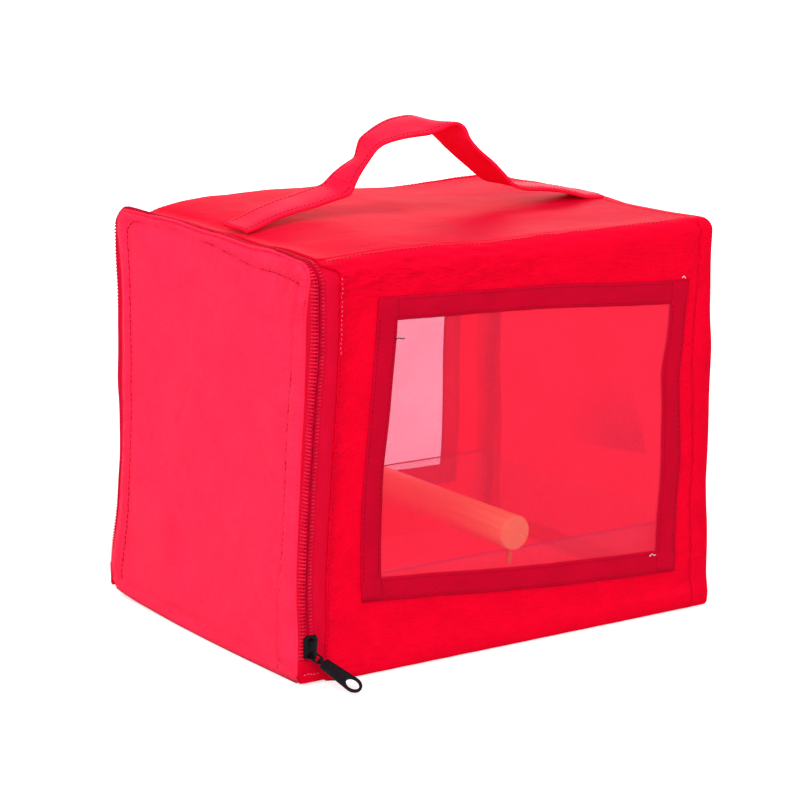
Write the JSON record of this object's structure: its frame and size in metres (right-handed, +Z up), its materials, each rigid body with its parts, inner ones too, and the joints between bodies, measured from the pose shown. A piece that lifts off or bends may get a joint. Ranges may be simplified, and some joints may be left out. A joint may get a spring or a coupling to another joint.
{
  "type": "bird travel carrier",
  "caption": "Zipped fabric carrier for a small bird: mesh windows, drop-down door, clear tray, wooden perch and strap handle.",
  "frame": {"origin": "middle of the base, on the surface that the carrier stands on", "axes": "+X along the front from the door end to the closed end, +Y from the front to the back, +Z up"},
  "size_m": [0.3199, 0.2545, 0.31],
  "materials": {
    "shell_cloth": "plain-woven coated polyester, semi-matt",
    "door_cloth": "plain-woven coated polyester, semi-matt",
    "welt_cloth": "folded edge of the door cloth",
    "window_mesh": "fine knitted mesh",
    "binding_tape": "ribbed binding tape",
    "zip_tape": "woven zip tape",
    "zip_coil": "nylon coil",
    "hinge_tape": "ribbed binding tape",
    "stiffener_board": "thin fibreboard",
    "lining_cloth": "smooth polyester lining",
    "strap_webbing": "folded and stitched strap",
    "slider_metal": "gloss black enamel on die-cast zinc",
    "link_metal": "gloss black enamel on wire",
    "pull_tab_metal": "satin black enamel",
    "tray_acrylic": "clear polished acrylic sheet",
    "perch_wood": "turned dowel, bare",
    "perch_pin_wood": "thin hardwood pin"
  },
  "bodies": {
    "root": {"back_binding_bottom": "binding_tape", "back_binding_left": "binding_tape", "back_binding_right": "binding_tape", "back_binding_top": "binding_tape", "back_panel": "shell_cloth", "back_window_mesh": "window_mesh", "base_board": "stiffener_board", "base_lining": "lining_cloth", "base_panel": "shell_cloth", "body_zip_coil": "zip_coil", "body_zip_tape": "zip_tape", "end_board": "stiffener_board", "end_lining": "lining_cloth", "end_panel": "shell_cloth", "front_binding_bottom": "binding_tape", "front_binding_left": "binding_tape", "front_binding_right": "binding_tape", "front_binding_top": "binding_tape", "front_panel": "shell_cloth", "front_window_mesh": "window_mesh", "handle_end_left": "strap_webbing", "handle_end_right": "strap_webbing", "hinge_tape_base": "hinge_tape", "top_board": "stiffener_board", "top_lining": "lining_cloth", "top_panel": "shell_cloth", "tray_floor": "tray_acrylic", "tray_wall_back": "tray_acrylic", "tray_wall_door": "tray_acrylic", "tray_wall_end": "tray_acrylic", "tray_wall_front": "tray_acrylic", "zip_stops": "zip_coil"},
    "door": {"door_panel": "door_cloth", "door_welt": "welt_cloth", "door_board": "stiffener_board", "door_lining": "lining_cloth", "door_zip_tape": "zip_tape", "door_zip_coil": "zip_coil", "hinge_tape_door": "hinge_tape"},
    "slider": {"slider_body": "slider_metal", "slider_crown": "slider_metal"},
    "link": {"pull_link": "link_metal"},
    "tab": {"pull_tab": "pull_tab_metal"},
    "perch": {"perch_dowel": "perch_wood", "perch_pins": "perch_pin_wood"},
    "handle": {"handle_arch": "strap_webbing"}
  },
  "joints": [
    {"name": "door_hinge", "type": "hinge", "parent": "root", "child": "door", "pos_m": [-0.16, 0, 0], "axis": [0, -1, 0], "range_deg": [0, 90]},
    {"name": "zip_slide", "type": "slide", "parent": "root", "child": "slider", "axis": [0.0236, 0, 0.9997], "range_m": [0, 0.2]},
    {"name": "pull_flip", "type": "hinge", "parent": "slider", "child": "link", "pos_m": [-0.15435, -0.11567, 0.01882], "axis": [0.8788, 0.3984, 0.2627], "range_deg": [-70, 40]},
    {"name": "tab_turn", "type": "hinge", "parent": "link", "child": "tab", "pos_m": [-0.15173, -0.11971, 0.01616], "axis": [0.8788, 0.3984, 0.2627], "range_deg": [-60, 12]},
    {"name": "perch_lift", "type": "slide", "parent": "root", "child": "perch", "axis": [0, 0, 1], "range_m": [0, 0.14]},
    {"name": "handle_tilt", "type": "hinge", "parent": "root", "child": "handle", "pos_m": [0, 0, 0.271], "axis": [1, 0, 0], "range_deg": [-45, 45]}
  ]
}
